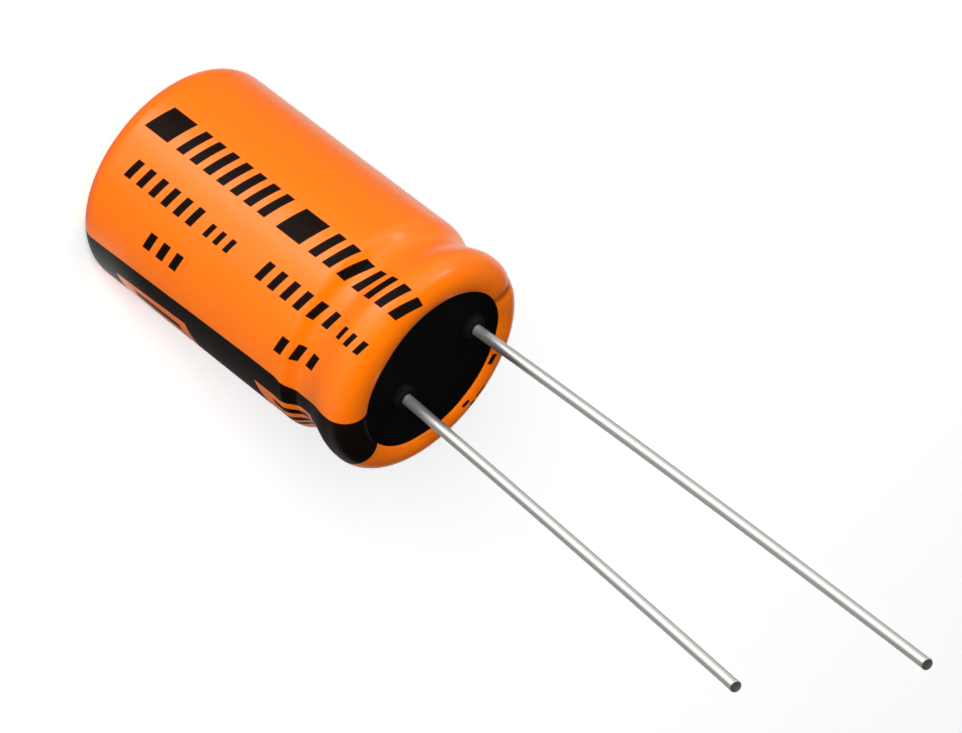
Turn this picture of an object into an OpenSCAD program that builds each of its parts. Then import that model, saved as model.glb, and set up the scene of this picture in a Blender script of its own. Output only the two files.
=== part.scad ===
/* [Body] */
// Diameter over the sleeve
body_d = 12.5; // [12:0.1:16]
// Height from the head to the top of the rolled lip
body_h = 19.7; // [17:0.1:35]
// Radius of the rolled lip, over the sleeve
lip_r = 1.16; // [1.05:0.01:1.25]
// Distance from the top of the lip down to the deepest line of the bead
bead_down = 3.6; // [3.3:0.05:4]

/* [Sleeve] */
// Thickness of the shrunk sleeve
sleeve_t = 0.15; // [0.1:0.01:0.2]
// Depth of the trough where the sleeve bridges the bead of the can
sleeve_dip = 0.57; // [0.35:0.01:0.65]
// Height over which the sleeve falls into that trough
sleeve_fall = 0.9; // [0.8:0.05:1.1]
// How far the sleeve turns in over the head, from the side
head_turn = 2.05; // [1.8:0.05:3]
// How far the sleeve turns in over the lip, from the side
seal_turn = 1.72; // [1.5:0.02:1.9]

/* [Can] */
// Wall of the drawn can
can_t = 0.3; // [0.22:0.01:0.34]
// Outer radius of the corner between the head and the side
can_corner_r = 1.2; // [0.9:0.05:1.5]
// Depth of the rolled bead in the can
bead_depth = 0.85; // [0.7:0.01:0.95]
// Height over which the can falls into the bead
bead_fall = 1.1; // [1:0.05:1.4]
// Angle round the lip at which the curled rim is cut off
curl_a = 104; // [95:1:108]
// Length of each line of the pressure vent
vent_len = 7; // [5:0.1:8]
// Depth of the vent's scored lines
vent_depth = 0.14; // [0.05:0.01:0.18]

/* [Seal] */
// Thickness of the rubber bung
seal_t = 4.7; // [4.4:0.05:5.4]
// Depth of the bung's face below the top of the lip
seal_recess = 0.38; // [0.36:0.01:0.5]
// Diameter of the boss round each wire
boss_d = 1.35; // [1.1:0.05:1.8]
// Height of each boss
boss_h = 0.38; // [0.2:0.02:0.6]
// Radius of a boss's top edge and of the fillet at its foot
boss_round = 0.17; // [0.05:0.01:0.18]

/* [Terminals] */
// Distance between the wires where they leave the seal
pitch = 5; // [4.6:0.1:5.4]
// Shift of the pair of wires towards the long one
pair_shift = 0.53; // [0:0.01:0.6]
// Diameter of the tinned wires
wire_d = 0.6; // [0.5:0.05:0.8]
// Length of the long wire past its boss
long_lead = 29.4; // [20:0.1:40]
// Length of the short wire past its boss
short_lead = 23.2; // [15:0.1:35]
// Outward lean of the long wire, in degrees
long_lean = 0.8; // [0:0.1:3]
// Outward lean of the short wire, in degrees
short_lean = 2.8; // [0:0.1:3]
// Bevel at the cut end of each wire
cut_bevel = 0.04; // [0.01:0.01:0.1]
// Diameter of the aluminium shanks in the bung
shank_d = 1.5; // [1.4:0.05:1.7]
// Diameter of the weld at the foot of each wire
weld_d = 1.2; // [0.9:0.05:1.25]
// Height of the weld, which narrows to the wire at the top of the boss
weld_h = 0.9; // [0.7:0.05:1.2]
// Height of the weld's straight rim
weld_rim = 0.15; // [0.1:0.01:0.25]
// Width of the flat tabs
tab_w = 2.2; // [1.6:0.1:2.6]
// Thickness of the flat tabs
tab_t = 0.3; // [0.2:0.01:0.4]
// Length of the flat tabs inside the winding
tab_len = 9; // [5:0.1:11]
// Height over which a shank is pressed flat
tab_neck = 1; // [0.6:0.05:1.2]

/* [Winding] */
// Diameter of the wound roll
winding_d = 10.9; // [9.5:0.1:11]
// Height of the wound roll
winding_h = 12.6; // [11.5:0.1:13]
// Diameter of the hole that the winding pin leaves
core_d = 1.8; // [1.2:0.1:2.2]
// Distance from turn to turn, as drawn at the ends of the roll
turn_pitch = 0.7; // [0.6:0.05:1]
// Gap between the paper edges at the ends of the roll
turn_gap = 0.3; // [0.15:0.01:0.4]
// How far the paper stands past the foil at the ends of the roll
paper_margin = 0.8; // [0.3:0.05:1.5]
// Height of the bevel at the foot of the roll
roll_bevel = 0.6; // [0.5:0.05:0.9]
// Thickness of the stop tape
tape_t = 0.06; // [0.04:0.01:0.08]
// Height of the stop tape
tape_h = 9; // [6:0.1:10]
// Angle over which the tape laps itself
lap_a = 40; // [20:1:90]

/* [Fits] */
// Clearance between pieces that are pressed together
press_gap = 0.02; // [0.01:0.005:0.03]
// Clearance between a shank and the weld cone that leans on it
weld_gap = 0.05; // [0.04:0.01:0.08]
// Clearance round a tab in its slot in the roll
slot_gap = 0.06; // [0.03:0.01:0.1]

/* [Hidden] */
$fn = 96;

// Sides of the pair, along X
LONG = -1;
SHORT = 1;

body_r = body_d/2;
skin = sleeve_t + press_gap;
can_r = body_r - skin;
can_in_r = can_r - can_t;
floor_z = skin + can_t;

bead_z = body_h - bead_down;
lip_z = body_h - lip_r;
sleeve_a = acos(1 - seal_turn/lip_r);

seal_z = body_h - seal_recess;
seal_foot = seal_z - seal_t;
boss_z = seal_z + boss_h;
weld_z = boss_z - weld_h;

roll_z = floor_z + press_gap;
roll_top = roll_z + winding_h;
roll_r = winding_d/2;
tape_r = roll_r + press_gap;
tape_z = roll_z + (winding_h - tape_h)/2;

// How far a cut runs past what it cuts
past = 1;

arc_steps = 10;
bead_steps = 12;
turn_steps = 24;

// Points along an arc about c, from angle a0 to angle a1
function arc(c, r, a0, a1, n) =
    [for (i = [0:n]) let (a = a0 + (a1 - a0)*i/n) c + r*[cos(a), sin(a)]];

// Points from a to b on half a cosine wave, level at both ends; a itself is left out
function ease(a, b, n) =
    [for (i = [1:n]) [a[0] + (b[0] - a[0])*(1 - cos(180*i/n))/2, a[1] + (b[1] - a[1])*i/n]];

// A list without its first entry, and a list in reverse order
function tail(p) = [for (i = [1:len(p) - 1]) p[i]];
function turned(p) = [for (i = [len(p) - 1:-1:0]) p[i]];

function unit(v) = v/norm(v);
function left(v) = [-v[1], v[0]];
function step_at(p, i) = unit(p[i + 1] - p[i]);

// The path moved to its left by d, with mitred corners
function beside(p, d) =
    [for (i = [0:len(p) - 1])
        let (a = left(step_at(p, max(i - 1, 0))))
        let (b = left(step_at(p, min(i, len(p) - 2))))
        let (m = unit(a + b))
        p[i] + m*d/(m*a)];

// The outside of a case, from the edge of its head up the side, through the bead and round the lip
function case_path(r, foot, corner, dip, fall, lip, end_a) =
    let (side = [r, bead_z - fall])
    let (deep = [r - dip, bead_z])
    concat(
        arc([r - corner, foot + corner], corner, -90, 0, arc_steps),
        [side],
        ease(side, deep, bead_steps),
        ease(deep, [r, lip_z], bead_steps),
        tail(arc([r - lip, lip_z], lip, 0, end_a, 2*arc_steps)));

function can_path() =
    case_path(can_r, skin, can_corner_r, bead_depth, bead_fall, lip_r - skin, curl_a);

// The wall on the left of a path
module wall(path, t) {
    rotate_extrude() polygon(concat(path, turned(beside(path, t))));
}

module sleeve() {
    color([1, 0.45, 0.1])
    wall(concat([[body_r - head_turn, 0]],
                case_path(body_r, 0, can_corner_r + skin, sleeve_dip, sleeve_fall, lip_r, sleeve_a)),
         sleeve_t);
}

module can() {
    groove = vent_depth*sqrt(2);
    color([0.8, 0.81, 0.83])
    difference() {
        wall(concat([[0, skin]], can_path()), can_t);
        for (a = [0, 90])
            rotate(a)
            translate([0, 0, skin])
            rotate([45, 0, 0])
            cube([vent_len, groove, groove], center = true);
    }
}

function lean(side) = side*(side == LONG ? long_lean : short_lean);
function wire_len(side) = side == LONG ? long_lead : short_lead;
// Where the axis of a wire crosses the top of its boss, and where it crosses the foot of its weld
function exit_x(side) = side*pitch/2 + LONG*pair_shift;
function weld_x(side) = exit_x(side) - (boss_z - weld_z)*tan(lean(side));

// Places its children on the leaning axis of a wire, with the foot of the weld at the origin
module on_wire(side) {
    translate([weld_x(side), 0, weld_z]) rotate([0, lean(side), 0]) children();
}

// The room that a wire and its weld take in the rubber, from the shank's bore up through the boss
module wire_bore() {
    r = wire_d/2 + press_gap;
    foot = weld_d/2 + press_gap;
    rotate_extrude()
    polygon([[0, -weld_rim], [foot, -weld_rim], [foot, weld_rim], [r, weld_h], [r, 2*weld_h], [0, 2*weld_h]]);
}

// The rubber fills the rolled end of the can, up to the curled rim and past its cut edge
module bung_body() {
    lip_c = [body_r - lip_r, lip_z];
    under_rim = [for (p = beside(can_path(), can_t + press_gap)) if (p[1] > seal_foot) p];
    rim_in = lip_r - skin - can_t - press_gap;
    clear_a = curl_a + asin(press_gap/rim_in);
    edge = [cos(clear_a), sin(clear_a)];
    rotate_extrude()
    polygon(concat([[0, seal_foot], [can_in_r - press_gap, seal_foot]], under_rim,
                   [lip_c + edge*rim_in, lip_c + edge*(seal_z - lip_z)/edge[1], [0, seal_z]]));
}

// A moulded boss, with a fillet at its foot and a rounded top edge
module boss() {
    round = min(boss_round, boss_h/2);
    r = boss_d/2;
    rotate_extrude()
    polygon(concat([[0, -boss_h], [r + round, -boss_h]],
                   arc([r + round, round], round, -90, -180, arc_steps),
                   arc([r - round, boss_h - round], round, 0, 90, arc_steps),
                   [[0, boss_h]]));
}

module rubber_bung() {
    color([0.06, 0.06, 0.065])
    difference() {
        union() {
            bung_body();
            for (side = [LONG, SHORT])
                translate([exit_x(side), 0, seal_z])
                boss();
        }
        for (side = [LONG, SHORT]) {
            on_wire(side) wire_bore();
            translate([weld_x(side), 0, seal_foot - past])
            cylinder(h = weld_z - seal_foot + past, d = shank_d + 2*press_gap);
        }
    }
}

// A wedge that goes from width low to width high over the height of the neck
module wedge(low, high, depth) {
    rotate([90, 0, 0])
    linear_extrude(depth, center = true)
    polygon([[-low/2, 0], [low/2, 0], [high/2, tab_neck], [-high/2, tab_neck]]);
}

// The neck where the round shank is pressed flat: thin one way, spread the other, and round at its top
module neck() {
    spread = norm([tab_w, tab_t]) + tab_t;
    intersection() {
        wedge(tab_t, shank_d + tab_t, 2*tab_w);
        rotate(90) wedge(tab_w, shank_d + tab_t, 2*shank_d);
        cylinder(h = tab_neck, d1 = spread, d2 = shank_d);
    }
}

module tab(side) {
    neck_top = roll_top + tab_neck;
    color([0.72, 0.73, 0.75])
    translate([weld_x(side), 0, 0]) {
        translate([0, 0, neck_top])
        cylinder(h = weld_z - weld_gap - neck_top, d = shank_d);
        translate([0, 0, roll_top])
        neck();
        translate([-tab_t/2, -tab_w/2, roll_top - tab_len])
        cube([tab_t, tab_w, tab_len]);
    }
}

module anode_tab() {
    tab(LONG);
}

module cathode_tab() {
    tab(SHORT);
}

module lead(side) {
    len = weld_h + wire_len(side);
    r = wire_d/2;
    foot = weld_d/2;
    color([0.82, 0.82, 0.84])
    on_wire(side)
    rotate_extrude()
    polygon([[0, 0], [foot, 0], [foot, weld_rim], [r, weld_h], [r, len - cut_bevel], [r - cut_bevel, len],
             [0, len]]);
}

module anode_lead() {
    lead(LONG);
}

module cathode_lead() {
    lead(SHORT);
}

// The groove between the turns, a band that opens by one turn_pitch a turn
module spiral_groove() {
    turns = floor((roll_r - core_d/2 - 2*turn_gap)/turn_pitch);
    path = [for (i = [0:turns*turn_steps])
        let (a = 360*i/turn_steps)
        (core_d/2 + turn_gap + turn_pitch*i/turn_steps)*[cos(a), sin(a)]];
    linear_extrude(paper_margin + past)
    polygon(concat(path, turned([for (p = path) p + unit(p)*turn_gap])));
}

module winding() {
    color([0.78, 0.68, 0.5])
    difference() {
        rotate_extrude()
        polygon([[core_d/2, roll_z], [roll_r - roll_bevel, roll_z], [roll_r, roll_z + roll_bevel],
                 [roll_r, roll_top], [core_d/2, roll_top]]);
        translate([0, 0, roll_top - paper_margin])
        spiral_groove();
        translate([0, 0, roll_z + paper_margin])
        mirror([0, 0, 1])
        spiral_groove();
        for (side = [LONG, SHORT])
            translate([weld_x(side) - tab_t/2 - slot_gap, -tab_w/2 - slot_gap, roll_top - tab_len - slot_gap])
            cube([tab_t + 2*slot_gap, tab_w + 2*slot_gap, tab_len + slot_gap + past]);
    }
}

module stop_tape() {
    color([0.55, 0.68, 0.35])
    translate([0, 0, tape_z]) {
        rotate_extrude()
        translate([tape_r, 0])
        square([tape_t, tape_h]);
        rotate_extrude(angle = lap_a)
        translate([tape_r, 0])
        square([2*tape_t, tape_h]);
    }
}

sleeve();
can();
rubber_bung();
anode_tab();
cathode_tab();
anode_lead();
cathode_lead();
winding();
stop_tape();
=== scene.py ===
import math

import bpy
import numpy as np
from bpy.props import FloatProperty, FloatVectorProperty, PointerProperty
from mathutils import Matrix, Vector


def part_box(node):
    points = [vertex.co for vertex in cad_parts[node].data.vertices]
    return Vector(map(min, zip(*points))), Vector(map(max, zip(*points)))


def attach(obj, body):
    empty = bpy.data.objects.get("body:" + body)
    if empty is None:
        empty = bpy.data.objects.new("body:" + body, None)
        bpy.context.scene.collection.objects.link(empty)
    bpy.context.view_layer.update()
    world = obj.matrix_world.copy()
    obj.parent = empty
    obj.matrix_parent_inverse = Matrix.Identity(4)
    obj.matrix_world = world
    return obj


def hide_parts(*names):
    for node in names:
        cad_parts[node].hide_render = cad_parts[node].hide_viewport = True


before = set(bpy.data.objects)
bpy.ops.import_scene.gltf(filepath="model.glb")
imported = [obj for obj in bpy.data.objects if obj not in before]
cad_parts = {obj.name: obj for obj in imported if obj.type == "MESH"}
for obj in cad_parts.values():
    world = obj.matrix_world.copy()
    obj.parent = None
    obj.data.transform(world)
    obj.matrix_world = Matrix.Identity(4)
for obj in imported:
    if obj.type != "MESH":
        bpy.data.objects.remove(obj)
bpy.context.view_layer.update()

bl_info = {
    "name": "Radial capacitor",
    "version": (1, 0, 0),
    "blender": (4, 5, 0),
    "location": "3D View > Sidebar > Capacitor",
    "description": "Dresses the packed capacitor: film, wires, rubber, can, roll and studio",
    "category": "Object",
}

MM = 0.001
FILM_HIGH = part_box("sleeve")[1]
LONG_LOW, LONG_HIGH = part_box("anode_lead")
SHORT_LOW, SHORT_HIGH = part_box("cathode_lead")
ROLL_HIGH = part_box("winding")[1]

# Points round the film, and on the rounded edge at each of its two cuts
AROUND, CAP = 288, 5
# The side where the film bridges the bead loosely, and the side where its cut edge turns in
# further over the seal: the middle of each and its half width, in degrees round the axis
LOOSE_TURN, LOOSE_WIDE = -158, 52
DEEP_TURN, DEEP_WIDE = -58, 28
# Where the fold meets the cut edge over the seal, and how far it turns for each millimetre away
# from there, in degrees
FOLD_TURN, FOLD_SLANT = -173.5, -2.0
# Waves round the axis: each term has its waves to the turn, its share and its start
PUCKERS = ((7, 0.6, 0.4), (11, 0.6, 2.1), (17, 0.3, 4.0))
SLOW_WAVES = ((3, 1.0, 0.9), (5, 0.8, 2.6))
HEAD_RIPPLES = ((13, 0.6, 0.2), (19, 0.6, 1.9), (31, 0.5, 3.3))
HEAD_EDGE = ((3, 0.8, 0.4), (7, 0.5, 1.3), (12, 0.4, 0.2))
SEAL_EDGE = ((5, 0.5, 0.3), (9, 0.3, 2.2))

# Where the print's measure along the film starts on its map, so that it is the height over the
# head on the straight side, and where it ends, at the cut edge over the seal, in millimetres
FILM_START, FILM_RUN = 1.462, 21.217
# The stripe: its middle at the head and half its width, in degrees, and how far it turns back for
# each millimetre up, to a height past which it runs straight
STRIPE_TURN, STRIPE_HALF, STRIPE_SLANT, STRIPE_STRAIGHT = 2.5, 19.5, 0.35, 13.0
# Where the stripe swings sideways at the bead, half the reach of the swing and its degrees
SWING_HIGH, SWING_HALF, SWING_TURN = 16.4, 0.9, 6
# Its windows, in millimetres: where the gap before the first starts, that gap, the distance from
# one to the next, half their length, and the height that they end at
WINDOW_START, WINDOW_GAP, WINDOW_PITCH, WINDOW_HALF, WINDOW_END = 2.05, 1.0, 10.35, 2.65, 16.9
# And in degrees: their middle, their half width at the start, and its growth for each millimetre,
# with the millimetres that they lean for each degree
WINDOW_TURN, WINDOW_WIDE, WINDOW_GROWS, WINDOW_SLANT = 5, 10.2, 0.4, 0.029
# The two dashes in a window: their middle and half their length in millimetres, their two turns
# and half their width in degrees, and the height where the last ones end
DASH_MIDDLE, DASH_HALF, DASH_TURNS, DASH_WIDE, DASH_END = 2.8, 1.72, (1.2, 10.6), 2.4, 16.4
# Bars of print in millimetres. A group has the starts of its repeats, and for each row its centre
# and half width across, its start, the number of bars, their pitch, width and slant
PRINT = (
    ((1.15, 11.5), (
        (11.05, 0.11, 0, 7, 1.1, 0.5, 0.28),
        (11.42, 0.11, 0, 7, 1.1, 0.5, 0.28),
        (12.5, 0.2, 0.4, 5, 1.5, 0.9, 0.28))),
    # Ends of the far rows, which turn in over the lip
    ((0,), (
        (11.08, 0.3, 20.78, 1, 0.24, 0.24, 0.1),
        (11.4, 0.2, 20.34, 1, 0.22, 0.22, 0.1),
        (12.3, 0.42, 20.38, 1, 0.2, 0.2, 0.1),
        (14.6, 0.42, 20.84, 1, 0.3, 0.3, 0.1))),
    ((0.8, 10.35), (
        (-9.87, 0.86, 0.9, 1, 2.0, 1.7, 0.28),
        (-9.87, 0.86, 3.2, 7, 0.98, 0.56, 0.28),
        (-6.95, 0.56, 1.5, 6, 0.9, 0.46, 0.28),
        (-6.85, 0.40, 7.2, 3, 0.72, 0.34, 0.28),
        (-4.35, 0.52, 4.2, 3, 0.95, 0.5, 0.28))))

# Height of the weld at a wire's foot, and of its straight rim
WELD_HIGH, WELD_RIM = 0.9 * MM, 0.15 * MM
# How far the cut of a wire slants, towards where, and how far its high side stands over the end
# of the CAD's wire
CUT_LEAN, CUT_TURN, CUT_OVER = 0.2 * MM, -74.0, 0.25 * MM
# Burr, bevel and face of the cut: how far back from the end, and the share of the wire's radius
CUT_BACK = np.array([0.30, 0.03, 0.0, 0.004, 0.018, 0.022]) * MM
CUT_SIZE = np.array([1.0, 1.018, 0.97, 0.86, 0.6, 0.3])

# Heights in millimetres between which a finish changes: a wire from its foot to its full shine,
# the seal from its face to its bosses, and the can from its head into the lines of the vent
FOOT_HIGH, SHINE_HIGH = 20.0, 23.0
SEAL_FACE, BOSS_TOP = 19.34, 19.6
VENT_EDGE, VENT_DEEP = 0.19, 0.25
# Distance from one foil to the next in the roll
ROLL_LAYER = 0.175

# The camera's aim in millimetres: a height on the axis, and from there to the right and down in
# its own view
AIM_HIGH, AIM_RIGHT, AIM_DOWN = 12, 7.702, 3.909
# The large lamp: its width and distance in metres, and its azimuth and elevation in degrees
KEY_SIZE, KEY_FAR, KEY_AZIMUTH, KEY_ELEVATION = 0.15, 0.4, -78, 26.5
# The floor: its radius in metres, its points, and its shade for light and for the camera
FLOOR_RADIUS, FLOOR_POINTS = 1.2, 64
FLOOR_SHADE, FLOOR_SEEN = (0.8, 0.8, 0.8), (1.84, 1.84, 1.84)
# What gloss sees: azimuth, elevation, two half widths, two half heights and brightness of each
# soft box, in degrees, and the brightness of the room below the horizon
SOFT_BOXES = (
    (-93, -27, 2, 28, 14, 40, 2.7),
    (-80, -27, 20, 58, 14, 40, 1.3),
    (124, -27, 8, 38, 14, 40, 0.55),
    (-142, 18, 4, 36, 4, 34, 1.4),
    (-158, 23, 2, 8, 2, 8, 9.0))
ROOM = 0.2
WHITE = (1, 1, 1, 1)


def length(name, text, default):
    """A length in metres, from a default in millimetres."""
    return FloatProperty(name=name, description=text, default=default * MM, subtype="DISTANCE",
                         unit="LENGTH", precision=5)


def angle(name, text, default):
    """An angle, from a default in degrees."""
    return FloatProperty(name=name, description=text, default=math.radians(default),
                         subtype="ANGLE", unit="ROTATION")


def colour(name, text, default):
    """A colour written as it shows on a screen, from 0 to 255."""
    linear = [((c / 255 + 0.055) / 1.055) ** 2.4 if c > 10.3 else c / 255 / 12.92
              for c in default]
    return FloatVectorProperty(name=name, description=text, default=linear, subtype="COLOR",
                               size=3, min=0, max=1)


class FilmSettings(bpy.types.PropertyGroup):
    """Sizes and colours of the printed film."""
    wall: length("Wall", "Thickness of the shrunk film", 0.15)
    corner: length("Corner", "Radius of the corner at the head", 1.37)
    head_turn: length("Head turn", "How far the film turns in over the head", 2.05)
    lip: length("Lip", "Radius of the rolled lip", 1.16)
    lip_turn: length("Lip turn", "How far the film turns in over the lip", 1.72)
    bead_down: length("Bead", "Distance from the top of the lip to the bottom of the trough", 3.6)
    dip: length("Trough", "Depth of the trough", 0.57)
    fall: length("Fall", "Height over which the film falls into the trough", 1.15)
    pucker: length("Pucker", "Height of the soft puckers where the film bridges the bead", 0.024)
    loose_down: length(
        "Loose bead", "Distance down to the trough on the side that bridges loosely", 2.72)
    loose_dip: length("Loose trough", "Depth of the trough on that side", 0.36)
    loose_fall: length("Loose fall", "Height over which the film falls on that side", 1.75)
    crease: length("Crease", "Depth of the fold on the lip", 0.1)
    film: colour("Film", "Colour of the film", (254, 118, 4))
    ink: colour("Ink", "Colour of the print", (20, 13, 9))


class WireSettings(bpy.types.PropertyGroup):
    """Sizes and colours of the wires."""
    radius: length("Radius", "Radius of the wires", 0.3)
    long_bow: length("Long bow", "How far the long wire bows at its middle", 0.11)
    short_bow: length("Short bow", "How far the short wire bows at its middle", 0.06)
    tin: colour("Tin", "Colour of the tinned wire", (226, 224, 220))
    cut: colour("Cut", "Colour of the cut ends", (92, 86, 79))


class InnerSettings(bpy.types.PropertyGroup):
    """Colours of the rubber, the can and what is in it."""
    rubber: colour("Rubber", "Colour of the rubber seal", (9, 9, 9))
    can: colour("Can", "Colour of the drawn aluminium", (208, 210, 214))
    tab: colour("Tabs", "Colour of the aluminium tabs", (190, 192, 196))
    paper: colour("Paper", "Colour of the soaked paper", (205, 184, 142))
    foil: colour("Foil", "Colour of the etched foil", (142, 144, 146))
    tape: colour("Tape", "Colour of the stop tape", (134, 158, 84))


class StudioSettings(bpy.types.PropertyGroup):
    """Light and camera."""
    key: FloatProperty(name="Key", description="Power of the large lamp", default=1.08, min=0)
    fill: FloatProperty(name="Fill", description="Brightness of the surroundings", default=1.32,
                        min=0)
    lift: FloatProperty(name="Lift", description="How far the floor is lifted for the camera",
                        default=0.06, min=0)
    lens: FloatProperty(name="Lens", description="Focal length in millimetres", default=177.77)
    distance: length("Distance", "From the camera to the object", 237.903)
    azimuth: angle("Azimuth", "Turn of the camera about the upright axis", 15.579)
    elevation: angle("Elevation", "Height of the camera over the horizon", 27.487)
    roll: angle("Roll", "Turn of the camera about its line of sight", 127.635)


class Sock:
    """A socket that takes part in sums: each operator adds one Math node to its tree."""

    def __init__(self, tree, socket):
        self.tree, self.socket = tree, socket

    def _math(self, operation, *values):
        return node(self.tree, "ShaderNodeMath", {"operation": operation}, *values)

    def __add__(self, other): return self._math("ADD", self, other)
    def __sub__(self, other): return self._math("SUBTRACT", self, other)
    def __mul__(self, other): return self._math("MULTIPLY", self, other)
    def __radd__(self, other): return self._math("ADD", other, self)
    def __rsub__(self, other): return self._math("SUBTRACT", other, self)
    def __rmul__(self, other): return self._math("MULTIPLY", other, self)
    def __lt__(self, other): return self._math("LESS_THAN", self, other)
    def __mod__(self, other): return self._math("FLOORED_MODULO", self, other)
    def __abs__(self): return self._math("ABSOLUTE", self)
    def max(self, other): return self._math("MAXIMUM", self, other)
    def min(self, other): return self._math("MINIMUM", self, other)
    def root(self): return self._math("SQRT", self)
    def arcsine(self): return self._math("ARCSINE", self)
    def arctan2(self, other): return self._math("ARCTAN2", self, other)
    def degrees(self): return self._math("DEGREES", self)

    def ramp(self, low, high):
        """0 below low, 1 above high, and a smooth rise between them."""
        return node(self.tree, "ShaderNodeMapRange", {"interpolation_type": "SMOOTHSTEP"},
                    self, low, high, 0.0, 1.0)


def put(socket, value):
    """Links a socket to a value that is a socket too, or sets it. A colour of three numbers gets
    its fourth, and None leaves the socket as it is."""
    if isinstance(value, Sock):
        value.tree.links.new(value.socket, socket)
    elif value is not None:
        short = hasattr(value, "__len__") and len(value) < len(socket.default_value)
        socket.default_value = (*value, 1.0) if short else value


def node(tree, kind, settings=None, *values, out=0, **named):
    """Adds a node: its settings first, then the values or links of its sockets, by place or by
    name. It gives the output that out names, or a list where out names several."""
    n = tree.nodes.new(kind)
    for key, value in (settings or {}).items():
        setattr(n, key, value)
    for key, value in [*enumerate(values), *named.items()]:
        put(n.inputs[key], value)
    if isinstance(out, tuple):
        return [Sock(tree, n.outputs[key]) for key in out]
    return Sock(tree, n.outputs[out]) if n.outputs else None


def mix(tree, factor, a, b):
    """A colour that goes from a to b."""
    # The node's sockets 1 to 5 belong to its other types
    return node(tree, "ShaderNodeMix", {"data_type": "RGBA", "clamp_factor": True},
                factor, *(None,) * 5, a, b, out=2)


def axes(tree, vector):
    """The three parts of a vector."""
    return node(tree, "ShaderNodeSeparateXYZ", None, vector, out=(0, 1, 2))


def object_mm(tree):
    """Object coordinates in millimetres."""
    place = node(tree, "ShaderNodeTexCoord", out="Object")
    return node(tree, "ShaderNodeVectorMath", {"operation": "SCALE"}, place, Scale=1 / MM)


def radius_of(x, y):
    """Distance from the upright axis."""
    return (x * x + y * y).root()


def turn_of(x, y):
    """Degrees round the upright axis, from -180 to 180."""
    return y.arctan2(x).degrees()


def noise(tree, vector, scale, detail=3.0, rough=0.5):
    """Noise from 0 to 1, with so many waves to the unit."""
    return node(tree, "ShaderNodeTexNoise", None, Vector=vector, Scale=scale, Detail=detail,
                Roughness=rough)


def stretch(tree, vector, scale):
    """The vector with each axis scaled by its own factor."""
    return node(tree, "ShaderNodeVectorMath", {"operation": "MULTIPLY"}, vector, scale)


def bump(tree, height, distance, strength=0.5):
    """A normal from a height of 0 to 1 that stands for so many metres."""
    return node(tree, "ShaderNodeBump", None, Strength=strength, Distance=distance, Height=height)


def shade(paint, factor):
    """A colour with each of its parts scaled, up to 1."""
    return tuple(min(c * factor, 1) for c in paint)


def new_material(name):
    """A new material, its nodes and its shader."""
    material = bpy.data.materials.new(name)
    material.use_nodes = True
    tree = material.node_tree
    return material, tree, tree.nodes["Principled BSDF"]


def feed(shader, **values):
    """Sets or links the shader's sockets by name."""
    for key, value in values.items():
        put(shader.inputs[key.replace("_", " ")], value)


def surface(name, rings, along, loop=False, poles=()):
    """A closed tube of rings: ring i and point j come from an array of rings, points and three
    numbers. Quads join each ring with the next and each point with the next one round it. With
    loop, the last ring joins the first. Each of the two poles is a point that closes one end with
    a fan. The map has the turn round the tube across, from 0 to 1, and along, a length for each
    ring, upwards."""
    count, points = rings.shape[:2]
    i = np.arange(count if loop else count - 1)[:, None]
    j = np.arange(points)[None, :]
    below, above = i * points, ((i + 1) % count) * points
    nxt = (j + 1) % points
    quads = np.stack([below + j, below + nxt, above + nxt, above + j], -1).reshape(-1, 4)
    turn = np.stack(np.broadcast_arrays(j, j + 1, j + 1, j), -1) / points
    rise = np.append(along, along[-1]) if loop else along
    rise = np.stack([rise[i], rise[i], rise[i + 1], rise[i + 1]], -1)
    maps = [np.stack([np.broadcast_to(turn, (len(i), points, 4)),
                      np.broadcast_to(rise, (len(i), points, 4))], -1).reshape(-1, 2)]
    verts, faces = [rings.reshape(-1, 3)], quads.tolist()
    for k, pole in enumerate(poles):
        base, tip = (0, count * points) if k == 0 else ((count - 1) * points, count * points + 1)
        a, b, end = base + j[0], base + nxt[0], np.full(points, tip)
        faces += np.stack([b, a, end] if k == 0 else [a, b, end], -1).tolist()
        verts.append(np.array([pole]))
        share = np.stack([j[0], j[0] + 1, j[0] + 0.5], -1) / points
        maps.append(np.stack([share, np.full(share.shape, along[-k])], -1).reshape(-1, 2))
    mesh = bpy.data.meshes.new(name)
    mesh.from_pydata(np.concatenate(verts).tolist(), [], faces)
    flat_map = np.concatenate(maps).astype(np.float32).ravel()
    mesh.uv_layers.new(name="UVMap").data.foreach_set("uv", flat_map)
    mesh.polygons.foreach_set("use_smooth", np.ones(len(mesh.polygons), bool))
    mesh.validate()
    piece = bpy.data.objects.new(name, mesh)
    bpy.context.scene.collection.objects.link(piece)
    return piece


def arc(centre, radius, start, end, steps):
    """Points on an arc, from one angle to another in degrees."""
    a = np.radians(np.linspace(start, end, steps))
    return np.stack([centre[0] + radius * np.cos(a), centre[1] + radius * np.sin(a)], -1)


def ease(a, b, steps):
    """Points from a to b on half a cosine wave, level at both ends."""
    t = np.linspace(0, 1, steps)
    return np.stack([a[0] + (b[0] - a[0]) * (1 - np.cos(np.pi * t)) / 2,
                     a[1] + (b[1] - a[1]) * t], -1)


def glide(a, b, steps):
    """Points from a to b on a cycloid wave: level at both ends, with no sudden bend there."""
    t = np.linspace(0, 1, steps)
    t_soft = t - np.sin(2 * np.pi * t) / (2 * np.pi)
    return np.stack([a[0] + (b[0] - a[0]) * t_soft, a[1] + (b[1] - a[1]) * t], -1)


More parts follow.
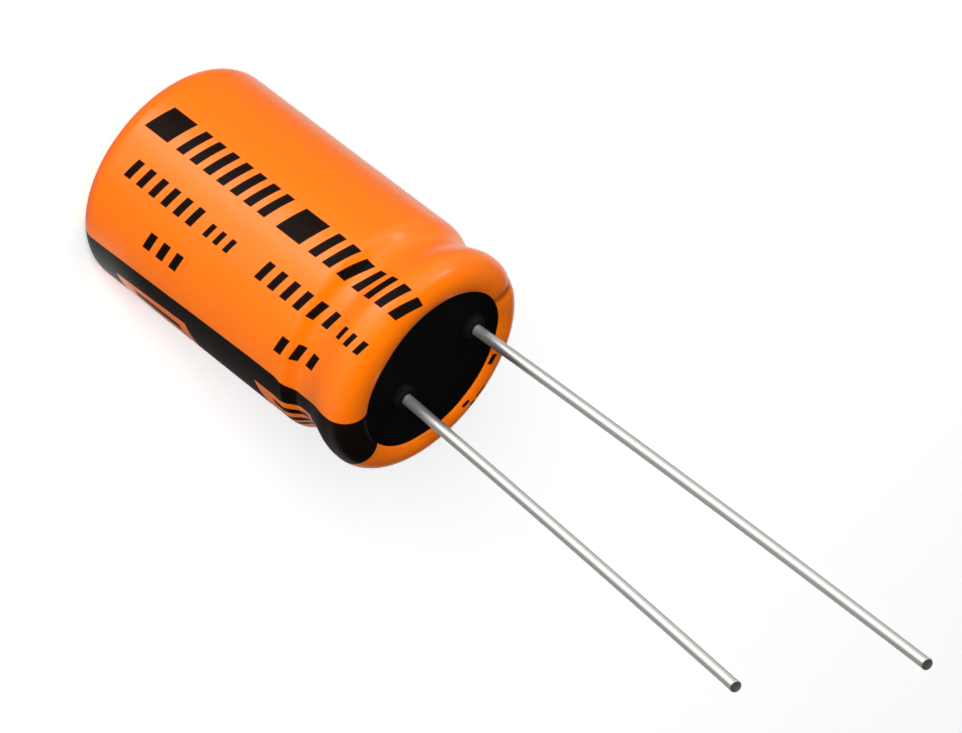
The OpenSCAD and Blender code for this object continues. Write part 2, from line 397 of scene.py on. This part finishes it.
def film_path(s, bead_down, dip, fall):
    """The outside of the film as a line in radius and height: flat under the head, a quarter
    circle at the corner, the straight side, a cycloid wave down into the trough, the mean of a
    cycloid wave and half a cosine wave out of it, and an arc over the lip that ends where the
    film has turned in far enough."""
    r, top = FILM_HIGH.x, FILM_HIGH.z
    bead = top - bead_down
    low, deep, crest = (r, bead - fall), (r - dip, bead), (r, top - s.lip)
    end = math.degrees(math.acos(1 - s.lip_turn / s.lip))
    parts = [
        np.stack([np.linspace(r - s.head_turn, r - s.corner, 6), np.zeros(6)], -1),
        arc((r - s.corner, s.corner), s.corner, -90, 0, 16),
        np.stack([np.full(30, r), np.linspace(s.corner, bead - fall, 30)], -1),
        glide(low, deep, 20),
        (ease(deep, crest, 26) + glide(deep, crest, 26)) / 2,
        arc((r - s.lip, top - s.lip), s.lip, 0, end, 34)]
    return np.concatenate([parts[0]] + [p[1:] for p in parts[1:]])


def wave(turn, terms):
    """A sum of cosines round the axis, one for each term."""
    return sum(share * np.cos(waves * turn + start) for waves, share, start in terms)


def near(x, centre, width):
    """A bell of height 1 about a centre."""
    return np.exp(-(((x - centre) / width) ** 2))


def apart(turn, centre):
    """How far one angle is from another round the axis, from -pi to pi."""
    return np.angle(np.exp(1j * (turn - centre)))


def carried(line):
    """The values of the outside's points for the film's whole section: along the outside, round
    the edge over the seal, back along the inside and round the edge at the head."""
    return np.concatenate([line, np.repeat(line[-1:], CAP, 0), line[::-1],
                           np.repeat(line[:1], CAP, 0)])


def film_relief(s, place, turn, total, trough, loose):
    """How far each point of the film stands out from its section, and how far it is shifted along
    it, from its place along the section and its turn. Each term is a bell along the section times
    a sum of cosines or a bell round the axis, and the slow waves follow a sine along it too."""
    deep = near(turn, math.radians(DEEP_TURN), math.radians(DEEP_WIDE))
    head_edge, seal_edge = near(place, 0, 0.5 * MM), near(place, total, 0.5 * MM)
    puckers = s.pucker * (near(place, trough - 0.9 * MM, 1.5 * MM) * wave(turn, PUCKERS))
    slow = (0.006 * MM * wave(turn, SLOW_WAVES) * np.sin(place / MM / 2.3)
            * near(place, total / 2, total / 3))
    ripples = near(place, 0, 0.9 * MM) * 0.02 * MM * wave(turn, HEAD_RIPPLES)
    # The fold runs off the lip at a slant: a groove with a low ridge beside it
    slant = apart(turn, np.radians(FOLD_TURN + FOLD_SLANT * (total - place) / MM))
    fold = s.crease * near(place, total - 0.9 * MM, 1.0 * MM) * (
        0.15 * near(slant, -0.2, 0.12) - near(slant, 0, 0.095))
    height = puckers + slow + ripples + fold + seal_edge * 0.08 * MM * deep
    # The cut edge over the seal turns in further on one side and less on the loose side
    shift = seal_edge * (0.03 * MM * wave(turn, SEAL_EDGE) + 0.2 * MM * deep - 0.12 * MM * loose)
    return height, shift - head_edge * 0.05 * MM * wave(turn, HEAD_EDGE)


class CAPACITOR_OT_film(bpy.types.Operator):
    """Makes the shrunk film: its section carried round the axis, with puckers, a fold and print"""
    bl_idname = "capacitor.film"
    bl_label = "Film"

    def execute(self, context):
        s = context.scene.capacitor_film
        outer = film_path(s, s.bead_down, s.dip, s.fall)
        step = np.gradient(outer, axis=0)
        step /= np.linalg.norm(step, axis=1)[:, None]
        out = np.stack([step[:, 1], -step[:, 0]], -1)
        run = np.append(0, np.cumsum(np.linalg.norm(np.diff(outer, axis=0), axis=1)))
        trough = run[np.argmin(abs(outer[:, 1] - (FILM_HIGH.z - s.bead_down)))]
        inner = outer - out * s.wall
        # Both cut edges are flattened half circles of the wall's thickness
        cap = np.radians(np.linspace(20, 160, CAP))[:, None]
        seal_cap, head_cap = (
            (outer[k] + inner[k]) / 2
            + way * s.wall / 2 * (np.cos(cap) * out[k] + 0.6 * np.sin(cap) * step[k])
            for k, way in ((-1, 1), (0, -1)))
        section = np.concatenate([outer, seal_cap, inner[::-1], head_cap])
        place = carried(run)[:, None]
        turn = np.linspace(-np.pi, np.pi, AROUND, endpoint=False)[None, :]
        # On one side the film bridges the bead more loosely: the trough is shallower and nearer
        # the lip
        loose = near(apart(turn, math.radians(LOOSE_TURN)), 0, math.radians(LOOSE_WIDE))
        bridge = film_path(s, s.loose_down, s.loose_dip, s.loose_fall) - outer
        height, shift = film_relief(s, place, turn, run[-1], trough, loose)
        flat = (section[:, None, :] + height[..., None] * carried(out)[:, None, :]
                + shift[..., None] * carried(step)[:, None, :])
        flat += carried(bridge)[:, None, :] * loose[..., None]
        flat[..., 1] = np.maximum(flat[..., 1], 0)
        rings = np.stack([flat[..., 0] * np.cos(turn), flat[..., 0] * np.sin(turn),
                          flat[..., 1]], -1)
        piece = surface("printed_film", rings, place[:, 0] / MM, loop=True)
        piece.data.materials.append(film_material(s))
        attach(piece, "root")
        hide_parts("sleeve")
        # The wires don't mirror the film, which would tint their feet
        piece.visible_glossy = False
        return {"FINISHED"}


def band(x, centre, half, soft=0.03):
    """1 within half of the centre and 0 outside it."""
    return 1 - abs(x - centre).ramp(half - soft, half + soft)


def bars(across, along, centre, half, start, count, pitch, width, slant):
    """A row of slanted bars along the body, in millimetres: each bar leans by slant for each
    millimetre across."""
    offset = across - centre
    place = along - start + offset * slant
    inside = band(place, count * pitch / 2, count * pitch / 2)
    return band(offset, 0, half) * inside * band(place % pitch, width / 2 + 0.02, width / 2)


def film_material(s):
    """Glossy vinyl film with its black stripe and its bars of print, on the film's own map."""
    material, tree, shader = new_material("printed_vinyl")
    u, v, _ = axes(tree, node(tree, "ShaderNodeTexCoord", out="UV"))
    turn = (u - 0.5) * 360.0
    along = v - FILM_START
    across = turn * (math.pi / 180 * FILM_HIGH.x / MM)
    # The stripe runs slightly askew down to the bead, with slanted windows of two dashes each
    middle = (STRIPE_TURN - along.max(0.0).min(STRIPE_STRAIGHT) * STRIPE_SLANT
              + band(along, SWING_HIGH, SWING_HALF, SWING_HALF) * SWING_TURN)
    off = turn - middle
    local = (along - WINDOW_START - off * WINDOW_SLANT) % WINDOW_PITCH - WINDOW_GAP
    edge = abs(off - WINDOW_TURN) - (local * WINDOW_GROWS + WINDOW_WIDE)
    window = (1 - edge.ramp(-0.3, 0.3)) * band(local, WINDOW_HALF, WINDOW_HALF)
    window = window * (along < WINDOW_END)
    first, second = (band(off, centre, DASH_WIDE, 0.2) for centre in DASH_TURNS)
    dash = band(local, DASH_MIDDLE, DASH_HALF) * (first + second) * (along < DASH_END)
    stripe = band(off, 0, STRIPE_HALF, 0.3) * (1 - window * (1 - dash))
    printed = stripe
    for repeats, rows in PRINT:
        for repeat in repeats:
            for centre, half, start, *shape in rows:
                row = bars(across, along, centre, half, repeat + start, *shape)
                printed = printed.max(row)
    place = object_mm(tree)
    cloud = noise(tree, place, 0.35, 2.0)
    fine = noise(tree, place, 7.0, 3.0, 0.6)
    thin = noise(tree, stretch(tree, place, (1.0, 1.0, 0.25)), 2.2, 2.0)
    film = mix(tree, cloud, shade(s.film, 0.97), shade(s.film, 1.03))
    # Painted shade: the film is darkened along the fold's crease on the lip
    painted_groove_shade = band(turn - (FILM_RUN - along) * FOLD_SLANT, FOLD_TURN, 2.3, 2.2)
    painted_groove_shade = painted_groove_shade * along.ramp(18.9, 20.2)
    film = mix(tree, painted_groove_shade * 0.7, film, shade(s.film, 0.25))
    ink = mix(tree, fine.ramp(0.62, 0.8) * 0.03, s.ink, s.film)
    feed(shader, Base_Color=mix(tree, printed, film, ink),
         Roughness=0.42 + thin * 0.08, Specular_IOR_Level=0.0,
         Coat_Weight=1 - stripe * 0.6 - (printed - stripe) * 0.93,
         Coat_Roughness=0.24, Coat_IOR=1.45,
         Normal=bump(tree, fine * 0.3 + thin * 0.7 + printed * 0.5, 0.006 * MM))
    return material


class CAPACITOR_OT_wires(bpy.types.Operator):
    """Makes the two tinned wires: circles along a gently bowed line, welded foot to cut end"""
    bl_idname = "capacitor.wires"
    bl_label = "Wires"

    def execute(self, context):
        s = context.scene.capacitor_wires
        material = wire_material(s)
        for name, cad, low, high, side, bow in (
                ("long_wire", "anode_lead", LONG_LOW, LONG_HIGH, -1, s.long_bow),
                ("short_wire", "cathode_lead", SHORT_LOW, SHORT_HIGH, 1, s.short_bow)):
            weld = (high.y - low.y) / 2
            start, end = (low.x, high.x) if side > 0 else (high.x, low.x)
            foot = Vector((start + side * weld, 0, low.z))
            tip = Vector((end - side * s.radius, 0, high.z))
            piece = wire(name, np.array(foot), np.array(tip), s.radius, weld, -bow)
            piece.data.materials.append(material)
            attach(piece, "root")
            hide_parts(cad)
        return {"FINISHED"}


def wire(name, foot, tip, radius, weld, bow):
    """Circles along a line from foot to tip. The line is straight plus a sideways bow that follows
    t(1 - t), the radius goes from the weld's down to the wire's over the first stretch, and the
    cut end closes with a small burr, a bevel and a slightly sunk face that slants by CUT_LEAN."""
    tip = tip + (tip - foot) / np.linalg.norm(tip - foot) * CUT_OVER
    whole = np.linalg.norm(tip - foot)
    run = np.concatenate([[0.0, 0.0], np.linspace(WELD_RIM, WELD_HIGH, 8),
                          np.linspace(WELD_HIGH, whole, 66)[1:]])
    thick = np.interp(run, [0, WELD_RIM, WELD_HIGH], [weld, weld, radius])
    thick[0] = weld * 0.9
    run = np.concatenate([run[:-1], whole - CUT_BACK])
    thick = np.concatenate([thick[:-1], CUT_SIZE * radius])
    line = foot + (tip - foot) * (run / whole)[:, None]
    swing = np.clip((run - WELD_HIGH) / (whole - WELD_HIGH), 0, 1)
    line[:, 0] += 4 * bow * swing * (1 - swing)
    heading = np.gradient(line, axis=0)
    heading[0] = heading[1] = tip - foot
    cut = len(CUT_BACK)
    heading[-cut:] = heading[-cut - 2]
    heading /= np.linalg.norm(heading, axis=1)[:, None]
    side_y = np.array([0.0, 1.0, 0.0])
    side_x = np.cross(side_y, heading)
    turn = np.linspace(0, 2 * np.pi, 56, endpoint=False)
    circle = np.cos(turn)[None, :, None] * side_x[:, None, :] + np.sin(turn)[None, :, None] * side_y
    rings = line[:, None, :] + thick[:, None, None] * circle
    # The cut face slants down towards one side
    lean = CUT_LEAN / 2 * (np.arange(len(run)) > len(run) - cut)
    down = 1 + (thick / radius)[:, None] * np.cos(turn - math.radians(CUT_TURN))
    rings -= (lean[:, None] * down)[..., None] * heading[:, None, :]
    end = line[-1] - heading[-1] * (CUT_LEAN / 2 + 0.004 * MM)
    return surface(name, rings, run / MM, poles=(foot, end))


def wire_material(s):
    """Tin over steel: bright, with faint draw lines along the wire, and dull cut ends."""
    material, tree, shader = new_material("tinned_steel")
    place = object_mm(tree)
    lines = noise(tree, stretch(tree, place, (9.0, 9.0, 0.12)), 1.0, 3.0, 0.6)
    dull = noise(tree, stretch(tree, place, (1.0, 1.0, 0.3)), 1.4, 3.0)
    _, _, up = axes(tree, node(tree, "ShaderNodeNewGeometry", out="Normal"))
    cut = up.ramp(0.75, 0.95)
    tint = mix(tree, dull, shade(s.tin, 0.9), s.tin)
    # Less like a mirror near the foot
    _, _, z = axes(tree, place)
    metal = 0.86 + z.ramp(FOOT_HIGH, SHINE_HIGH) * 0.14 - cut * 0.75
    feed(shader, Base_Color=mix(tree, cut, tint, s.cut), Metallic=metal,
         Roughness=0.26 + lines * 0.1 + cut * 0.25,
         Normal=bump(tree, lines + cut * noise(tree, place, 9.0), 0.004 * MM))
    return material


def paint(name, material):
    """Puts one material on every slot of a CAD piece."""
    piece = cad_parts[name]
    if not piece.material_slots:
        piece.data.materials.append(material)
    for slot in piece.material_slots:
        slot.material = material


class CAPACITOR_OT_seal(bpy.types.Operator):
    """Gives the rubber seal its matt, faintly bloomed rubber, and a painted highlight on its bosses
    """
    bl_idname = "capacitor.seal"
    bl_label = "Seal"

    def execute(self, context):
        s = context.scene.capacitor_inner
        material, tree, shader = new_material("black_rubber")
        place = object_mm(tree)
        grain = noise(tree, place, 9.0, 4.0, 0.65)
        bloom = noise(tree, place, 0.9, 4.0, 0.6)
        _, _, z = axes(tree, place)
        raised = z.ramp(SEAL_FACE, BOSS_TOP)
        # The bloom is the rubber's own tone; the raised bosses get a painted highlight
        bloom_and_boss_highlight = bloom.ramp(0.52, 0.8) * 0.12 + raised * 0.3
        feed(shader, Base_Color=mix(tree, bloom_and_boss_highlight, s.rubber, shade(s.rubber, 5)),
             Roughness=0.62 + grain * 0.15 - raised * 0.12, Specular_IOR_Level=0.15,
             Normal=bump(tree, grain, 0.012 * MM))
        paint("rubber_bung", material)
        return {"FINISHED"}


class CAPACITOR_OT_can(bpy.types.Operator):
    """Gives the can drawn aluminium, with turned rings on its head and painted shade in its vent"""
    bl_idname = "capacitor.can"
    bl_label = "Can"

    def execute(self, context):
        s = context.scene.capacitor_inner
        material, tree, shader = new_material("drawn_aluminium")
        place = object_mm(tree)
        x, y, z = axes(tree, place)
        ring = node(tree, "ShaderNodeCombineXYZ", None, radius_of(x, y), 0.0, 0.0)
        turned = noise(tree, ring, 9.0, 4.0, 0.7)
        drawn = noise(tree, stretch(tree, place, (6.0, 6.0, 0.3)), 1.0, 3.0)
        head = 1 - z.ramp(0.3, 0.8)
        lines = turned * head + drawn * (1 - head)
        # Painted shade in the sunk lines of the vent; the stain beside it is the metal's own tone
        painted_groove_shade = z.ramp(VENT_EDGE, VENT_DEEP) * head
        stain = noise(tree, place, 0.7, 4.0, 0.6).ramp(0.45, 0.8)
        tint = mix(tree, painted_groove_shade * 0.55 + stain * 0.18, s.can, shade(s.can, 0.5))
        feed(shader, Base_Color=tint, Metallic=1.0, Roughness=0.3 + lines * 0.16,
             Normal=bump(tree, lines, 0.01 * MM))
        paint("can", material)
        return {"FINISHED"}


class CAPACITOR_OT_roll(bpy.types.Operator):
    """Gives the tabs, the wound roll and the stop tape their aluminium, paper, foil and tape"""
    bl_idname = "capacitor.roll"
    bl_label = "Roll"

    def execute(self, context):
        s = context.scene.capacitor_inner
        tab = tab_material(s)
        paint("anode_tab", tab)
        paint("cathode_tab", tab)
        paint("winding", roll_material(s))
        paint("stop_tape", tape_material(s))
        return {"FINISHED"}


def tab_material(s):
    """Pressed aluminium, drawn along its length and finely etched."""
    material, tree, shader = new_material("pressed_aluminium")
    place = object_mm(tree)
    drawn = noise(tree, stretch(tree, place, (7.0, 7.0, 0.4)), 1.0, 3.0)
    etched = noise(tree, place, 14.0, 4.0, 0.7)
    feed(shader, Base_Color=mix(tree, etched, shade(s.tab, 0.8), s.tab), Metallic=1.0,
         Roughness=0.36 + etched * 0.18,
         Normal=bump(tree, drawn * 0.6 + etched * 0.4, 0.01 * MM))
    return material


def roll_material(s):
    """Soaked paper, with the edges of the foil in rings that end under the outer paper."""
    material, tree, shader = new_material("wound_paper_and_foil")
    place = object_mm(tree)
    x, y, _ = axes(tree, place)
    radius = radius_of(x, y)
    layer = (radius + noise(tree, place, 0.8) * 0.2) % ROLL_LAYER
    outside = ROLL_HIGH.x / MM
    foil = band(layer, 0.04, 0.025, 0.012) * (1 - radius.ramp(outside - 0.09, outside - 0.04))
    fibre = noise(tree, stretch(tree, place, (4.0, 4.0, 9.0)), 1.0, 5.0, 0.7)
    wet = noise(tree, place, 0.45, 3.0)
    paper = mix(tree, fibre * 0.5 + wet * 0.4, s.paper, shade(s.paper, 0.72))
    feed(shader, Base_Color=mix(tree, foil, paper, s.foil), Metallic=foil * 0.8,
         Roughness=0.72 - wet * 0.2 - foil * 0.25,
         Normal=bump(tree, fibre * 0.6 + foil * 0.4, 0.02 * MM, 0.6))
    return material


def tape_material(s):
    """Smooth green tape with fine threads round the roll."""
    material, tree, shader = new_material("stop_tape_film")
    place = object_mm(tree)
    weave = noise(tree, stretch(tree, place, (1.2, 1.2, 9.0)), 1.0, 3.0)
    feed(shader, Base_Color=mix(tree, weave, shade(s.tape, 0.85), s.tape),
         Roughness=0.28 + weave * 0.1, Normal=bump(tree, weave, 0.006 * MM))
    return material


def camera_axes(s):
    """Right, up and back of the camera, from its azimuth, elevation and roll."""
    a, e, r = s.azimuth, s.elevation, s.roll
    back = Vector((math.sin(a) * math.cos(e), -math.cos(a) * math.cos(e), math.sin(e)))
    level = Vector((math.cos(a), math.sin(a), 0))
    rise = back.cross(level)
    right = level * math.cos(r) + rise * math.sin(r)
    return right, rise * math.cos(r) - level * math.sin(r), back


def ray_kinds(tree):
    """Whether the camera looks, and whether gloss does."""
    return node(tree, "ShaderNodeLightPath", out=("Is Camera Ray", "Is Glossy Ray"))


def sheen(x, y, z):
    """What gloss sees in each direction: a dim room below the horizon, and soft boxes. Each box
    is full inside its first half width and height, and fades to nothing at the second."""
    turn, rise = turn_of(x, y), z.arcsine().degrees()
    total = (1 - rise.ramp(-14, 6)) * ROOM
    for azimuth, elevation, full, wide, level, tall, light in SOFT_BOXES:
        off = abs((turn + (540 - azimuth)) % 360 - 180)
        high = abs(rise - elevation)
        total = total + (1 - off.ramp(full, wide)) * (1 - high.ramp(level, tall)) * light
    return total


class CAPACITOR_OT_studio(bpy.types.Operator):
    """Makes the pale floor, the soft light and the camera"""
    bl_idname = "capacitor.studio"
    bl_label = "Studio"

    def execute(self, context):
        s = context.scene.capacitor_studio
        scene = context.scene
        scene.view_settings.view_transform = "Standard"
        self.camera(scene, s)
        self.floor(scene, s)
        self.world(scene, s)
        self.lamp(scene, s)
        return {"FINISHED"}

    def camera(self, scene, s):
        """A camera at its distance from the aim, turned by its three angles."""
        right, up, back = camera_axes(s)
        camera = bpy.data.objects.new("camera", bpy.data.cameras.new("camera"))
        scene.collection.objects.link(camera)
        camera.data.lens, camera.data.sensor_width = s.lens, 36
        camera.data.clip_start, camera.data.clip_end = 0.01, 10
        aim = Vector((0, 0, AIM_HIGH * MM)) + right * AIM_RIGHT * MM - up * AIM_DOWN * MM
        turn = Matrix((right, up, back)).transposed().to_4x4()
        camera.matrix_world = Matrix.Translation(aim + back * s.distance) @ turn
        scene.camera = camera

    def floor(self, scene, s):
        """A pale disc at the foot of the part. Camera rays see it near white, with the shadow
        kept. Gloss sees it glow only close to the head and far away, as a painted reflection,
        and elsewhere it sees the soft boxes of the studio."""
        turn = np.linspace(0, 2 * np.pi, FLOOR_POINTS, endpoint=False)
        rim = FLOOR_RADIUS * np.stack([np.cos(turn), np.sin(turn), np.zeros(FLOOR_POINTS)], -1)
        mesh = bpy.data.meshes.new("floor")
        mesh.from_pydata(rim.tolist(), [], [list(range(FLOOR_POINTS))])
        piece = bpy.data.objects.new("floor", mesh)
        scene.collection.objects.link(piece)
        material = bpy.data.materials.new("pale_table")
        material.use_nodes = True
        tree = material.node_tree
        tree.nodes.clear()
        x, y, _ = axes(tree, object_mm(tree))
        radius = radius_of(x, y)
        seen, glossy = ray_kinds(tree)
        plain = node(tree, "ShaderNodeBsdfDiffuse", None, mix(tree, seen, FLOOR_SHADE, FLOOR_SEEN))
        lift = node(tree, "ShaderNodeEmission", None, WHITE, seen * s.lift)
        table = node(tree, "ShaderNodeAddShader", None, plain, lift)
        # Painted reflection: where gloss sees it glow, in millimetres and degrees: a patch beside
        # the head, and past a clear ring the rest, brighter on one side
        foot = (1 - radius.ramp(8.0, 13.0)) * x.ramp(0.0, 4.0) * y.ramp(-3.0, 1.0)
        side = 1 - abs(turn_of(x, y) + 142).ramp(14.0, 48.0)
        far = radius.ramp(34.0, 46.0) * (0.25 + side * 0.6)
        clear = node(tree, "ShaderNodeBsdfTransparent")
        white = node(tree, "ShaderNodeEmission", None, WHITE, 1.0)
        shine = node(tree, "ShaderNodeMixShader", None, foot.max(far), clear, white)
        both = node(tree, "ShaderNodeMixShader", None, glossy, table, shine)
        node(tree, "ShaderNodeOutputMaterial", None, both)
        piece.data.materials.append(material)

    def world(self, scene, s):
        """White for the camera, an even fill for matt surfaces and a studio for gloss."""
        world = bpy.data.worlds.new("studio")
        scene.world = world
        world.use_nodes = True
        tree = world.node_tree
        tree.nodes.clear()
        x, y, z = axes(tree, node(tree, "ShaderNodeTexCoord", out="Generated"))
        seen, glossy = ray_kinds(tree)
        # The fill comes from the sides, and more of it from negative x and y
        sky = (1 - z.ramp(0.15, 0.75) * 0.94) * (1 - x * 0.33 - y * 0.35) * s.fill
        even = node(tree, "ShaderNodeBackground", None, WHITE, seen + (1 - seen) * sky)
        shine = node(tree, "ShaderNodeBackground", None, WHITE, sheen(x, y, z))
        both = node(tree, "ShaderNodeMixShader", None, glossy, even, shine)
        node(tree, "ShaderNodeOutputWorld", None, both)

    def lamp(self, scene, s):
        """The large lamp. Gloss sees the soft boxes in the world in its place."""
        light = bpy.data.lights.new("key", "AREA")
        light.shape, light.size = "DISK", KEY_SIZE
        light.energy = s.key
        key = bpy.data.objects.new("key", light)
        scene.collection.objects.link(key)
        key.visible_glossy = False
        a, e = math.radians(KEY_AZIMUTH), math.radians(KEY_ELEVATION)
        toward = Vector((math.cos(a) * math.cos(e), math.sin(a) * math.cos(e), math.sin(e)))
        turn = toward.to_track_quat("Z", "Y").to_matrix().to_4x4()
        key.matrix_world = Matrix.Translation(toward * KEY_FAR) @ turn


STEPS = (CAPACITOR_OT_film, CAPACITOR_OT_wires, CAPACITOR_OT_seal, CAPACITOR_OT_can,
         CAPACITOR_OT_roll, CAPACITOR_OT_studio)
GROUPS = {"capacitor_film": FilmSettings, "capacitor_wires": WireSettings,
          "capacitor_inner": InnerSettings, "capacitor_studio": StudioSettings}


class CAPACITOR_PT_panel(bpy.types.Panel):
    """Lists the sizes and colours, and the steps that build the part"""
    bl_idname = "CAPACITOR_PT_panel"
    bl_label = "Capacitor"
    bl_space_type = "VIEW_3D"
    bl_region_type = "UI"
    bl_category = "Capacitor"

    def draw(self, context):
        for group, kind in GROUPS.items():
            box = self.layout.box()
            for name in kind.__annotations__:
                box.prop(getattr(context.scene, group), name)
        for step in STEPS:
            self.layout.operator(step.bl_idname)


def register():
    for kind in (*GROUPS.values(), *STEPS, CAPACITOR_PT_panel):
        bpy.utils.register_class(kind)
    for group, kind in GROUPS.items():
        setattr(bpy.types.Scene, group, PointerProperty(type=kind))


def unregister():
    for group in GROUPS:
        delattr(bpy.types.Scene, group)
    for kind in (CAPACITOR_PT_panel, *STEPS[::-1], *GROUPS.values()):
        bpy.utils.unregister_class(kind)


def main():
    """Builds everything in order."""
    register()
    bpy.ops.capacitor.film()
    bpy.ops.capacitor.wires()
    bpy.ops.capacitor.seal()
    bpy.ops.capacitor.can()
    bpy.ops.capacitor.roll()
    bpy.ops.capacitor.studio()
    bpy.context.view_layer.update()


if __name__ == "__main__":
    main()
